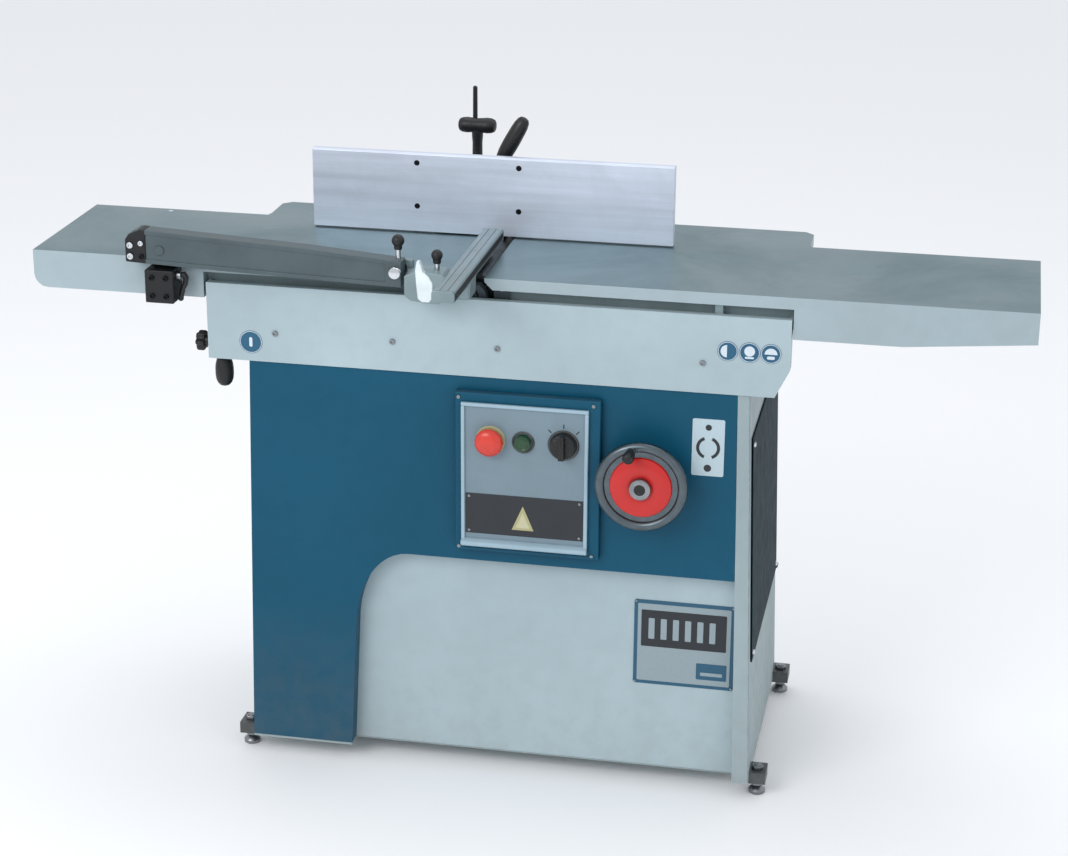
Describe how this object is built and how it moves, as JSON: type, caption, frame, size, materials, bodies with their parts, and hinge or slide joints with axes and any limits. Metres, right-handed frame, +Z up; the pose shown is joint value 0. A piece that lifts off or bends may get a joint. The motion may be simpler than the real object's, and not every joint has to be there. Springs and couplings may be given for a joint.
{
  "type": "jointer",
  "caption": "Surface planer: two cast-iron tables beside a cutterblock, tilting fence, bridge guard, sheet-steel cabinet with motor, handwheel and switch panel.",
  "frame": {"origin": "on the floor under the centre of the whole machine's bounding box", "axes": "+X along the tables towards the infeed end, +Y from the operator towards the back, +Z up"},
  "size_m": [1.598, 0.73, 1.069],
  "materials": {
    "blue_paint": "satin enamel, light orange peel",
    "grey_paint": "satin enamel, light orange peel",
    "dark_paint": "semi-matte hammered paint",
    "motor_paint": "satin enamel",
    "table_iron": "ground on top, painted beneath",
    "bed_iron": "painted casting",
    "steel": "ground and turned",
    "aluminium": "extruded, brushed, clear anodised",
    "black_plastic": "moulded",
    "red_plastic": "moulded",
    "green_plastic": "moulded",
    "red_wheel": "gloss enamel web, polished rim",
    "belt_rubber": "matte",
    "bronze": "turned"
  },
  "bodies": {
    "frame": {"base_cabinet": "grey_paint", "front_cover": "blue_paint", "lower_panel": "grey_paint", "side_panel_right": "blue_paint", "side_panel_left": "blue_paint", "levelling_foot_1": "steel", "levelling_foot_2": "steel", "levelling_foot_3": "steel", "levelling_foot_4": "steel", "cable_gland": "black_plastic", "bed_casting": "bed_iron", "apron": "grey_paint", "belt_guard": "dark_paint", "bearing_front": "bed_iron", "bearing_rear": "bed_iron", "motor_housing": "motor_paint", "motor_plate": "dark_paint", "drive_belt": "belt_rubber", "dust_chute": "dark_paint", "dust_spigot": "dark_paint", "control_box": "blue_paint", "control_plate": "grey_paint", "fence_support": "dark_paint"},
    "door": {"rear_door": "grey_paint"},
    "latch": {"door_latch": "black_plastic"},
    "infeed": {"infeed_table": "table_iron", "lift_nut": "bronze"},
    "outfeed": {"outfeed_table": "table_iron", "guard_mount": "dark_paint"},
    "cutter": {"cutterblock": "steel", "knife_1": "steel", "knife_2": "steel", "knife_3": "steel", "cutter_pulley": "steel"},
    "motor_shaft": {"motor_rotor": "steel", "motor_pulley": "steel"},
    "wheel": {"handwheel": "red_wheel", "handwheel_shaft": "steel"},
    "wheel_grip": {"handwheel_grip": "black_plastic"},
    "screw": {"lift_screw": "steel"},
    "carriage": {"fence_carriage": "dark_paint", "fence_slide_bar": "steel", "rear_guard": "dark_paint"},
    "fence": {"fence_plate": "aluminium", "fence_bracket_left": "dark_paint", "fence_bracket_right": "dark_paint"},
    "tilt_clamp": {"tilt_lever": "black_plastic"},
    "slide_clamp": {"clamp_handle": "black_plastic"},
    "arm": {"guard_arm": "dark_paint"},
    "head": {"guard_head": "aluminium"},
    "beam": {"guard_beam": "aluminium"},
    "knob_1": {"guard_knob_1": "black_plastic"},
    "knob_2": {"guard_knob_2": "black_plastic"},
    "mount_lever": {"guard_lever": "black_plastic"},
    "star_knob": {"outfeed_knob": "black_plastic"},
    "lock": {"outfeed_lock": "black_plastic"},
    "stop": {"stop_button": "red_plastic"},
    "start": {"start_button": "green_plastic"},
    "selector": {"selector_knob": "black_plastic"}
  },
  "joints": [
    {"name": "cutterblock_spin", "type": "hinge", "parent": "frame", "child": "cutter", "pos_m": [-0.078, 0.02, 0.835], "axis": [0, 1, 0], "continuous": true},
    {"name": "motor_spin", "type": "hinge", "parent": "frame", "child": "motor_shaft", "pos_m": [-0.022, 0.02, 0.25], "axis": [0, 1, 0], "continuous": true},
    {"name": "handwheel_turn", "type": "hinge", "parent": "frame", "child": "wheel", "pos_m": [0.208, -0.214, 0.559], "axis": [0, 1, 0], "range_deg": [0, 360]},
    {"name": "grip_spin", "type": "hinge", "parent": "wheel", "child": "wheel_grip", "pos_m": [0.1921, -0.25, 0.6189], "axis": [0, 1, 0], "continuous": true},
    {"name": "lift_screw_turn", "type": "hinge", "parent": "frame", "child": "screw", "pos_m": [0.208, 0.009, 0.559], "axis": [0, 0, 1], "range_deg": [0, 360]},
    {"name": "infeed_table_height", "type": "slide", "parent": "frame", "child": "infeed", "axis": [0, 0, 1], "range_m": [-0.004, 0]},
    {"name": "outfeed_knob_turn", "type": "hinge", "parent": "frame", "child": "star_knob", "pos_m": [-0.522, -0.166, 0.731], "axis": [1, 0, 0], "range_deg": [-360, 0]},
    {"name": "outfeed_table_height", "type": "slide", "parent": "frame", "child": "outfeed", "axis": [0, 0, 1], "range_m": [-0.002, 0]},
    {"name": "outfeed_lock_swing", "type": "hinge", "parent": "frame", "child": "lock", "pos_m": [-0.494, -0.146, 0.748], "axis": [0, 1, 0], "range_deg": [-10, 25]},
    {"name": "fence_slide", "type": "slide", "parent": "frame", "child": "carriage", "axis": [0, 1, 0], "range_m": [-0.055, 0.08]},
    {"name": "fence_tilt", "type": "hinge", "parent": "carriage", "child": "fence", "pos_m": [-0.131, 0.082, 0.886], "axis": [-1, 0, 0], "range_deg": [0, 45]},
    {"name": "tilt_lever_swing", "type": "hinge", "parent": "fence", "child": "tilt_clamp", "pos_m": [-0.079, 0.11, 0.93], "axis": [-1, 0, 0], "range_deg": [0, 30]},
    {"name": "clamp_handle_turn", "type": "hinge", "parent": "frame", "child": "slide_clamp", "pos_m": [-0.163, 0.272, 0.95], "axis": [0, 0, 1], "range_deg": [0, 50]},
    {"name": "guard_arm_raise", "type": "hinge", "parent": "outfeed", "child": "arm", "pos_m": [-0.57, -0.206, 0.893], "axis": [0, -1, 0], "range_deg": [0, 9]},
    {"name": "guard_head_level", "type": "hinge", "parent": "arm", "child": "head", "pos_m": [-0.186, -0.206, 0.882], "axis": [0, -1, 0], "range_deg": [-9, 0]},
    {"name": "guard_beam_slide", "type": "slide", "parent": "head", "child": "beam", "axis": [0, 1, 0], "range_m": [-0.12, 0.05]},
    {"name": "guard_knob_1_turn", "type": "hinge", "parent": "arm", "child": "knob_1", "pos_m": [-0.184, -0.206, 0.93], "axis": [0, 0, 1], "range_deg": [-180, 180]},
    {"name": "guard_knob_2_turn", "type": "hinge", "parent": "head", "child": "knob_2", "pos_m": [-0.12, -0.215, 0.913], "axis": [0, 0, 1], "range_deg": [-180, 180]},
    {"name": "guard_lever_swing", "type": "hinge", "parent": "outfeed", "child": "mount_lever", "pos_m": [-0.538, -0.206, 0.85], "axis": [1, 0, 0], "range_deg": [-75, 10]},
    {"name": "stop_button_press", "type": "slide", "parent": "frame", "child": "stop", "axis": [0, 1, 0], "range_m": [0, 0.006]},
    {"name": "start_button_press", "type": "slide", "parent": "frame", "child": "start", "axis": [0, 1, 0], "range_m": [0, 0.004], "stiffness_N_per_m": 300},
    {"name": "selector_turn", "type": "hinge", "parent": "frame", "child": "selector", "pos_m": [0.079, -0.1973, 0.608], "axis": [0, 1, 0], "range_deg": [-45, 45]},
    {"name": "rear_door_swing", "type": "hinge", "parent": "frame", "child": "door", "pos_m": [-0.402, 0.259, 0.345], "axis": [0, 0, 1], "range_deg": [0, 100]},
    {"name": "door_latch_turn", "type": "hinge", "parent": "door", "child": "latch", "pos_m": [0.35, 0.259, 0.234], "axis": [0, 1, 0], "range_deg": [-90, 0]}
  ],
  "couplings": [
    {"joint": "motor_spin", "follows": "cutterblock_spin", "ratio": 0.66667},
    {"joint": "lift_screw_turn", "follows": "handwheel_turn", "ratio": 1},
    {"joint": "infeed_table_height", "follows": "handwheel_turn", "m_per_rad": -0.0006366},
    {"joint": "outfeed_knob_turn", "follows": "outfeed_table_height", "rad_per_m": 3141.6},
    {"joint": "guard_head_level", "follows": "guard_arm_raise", "ratio": -1}
  ]
}
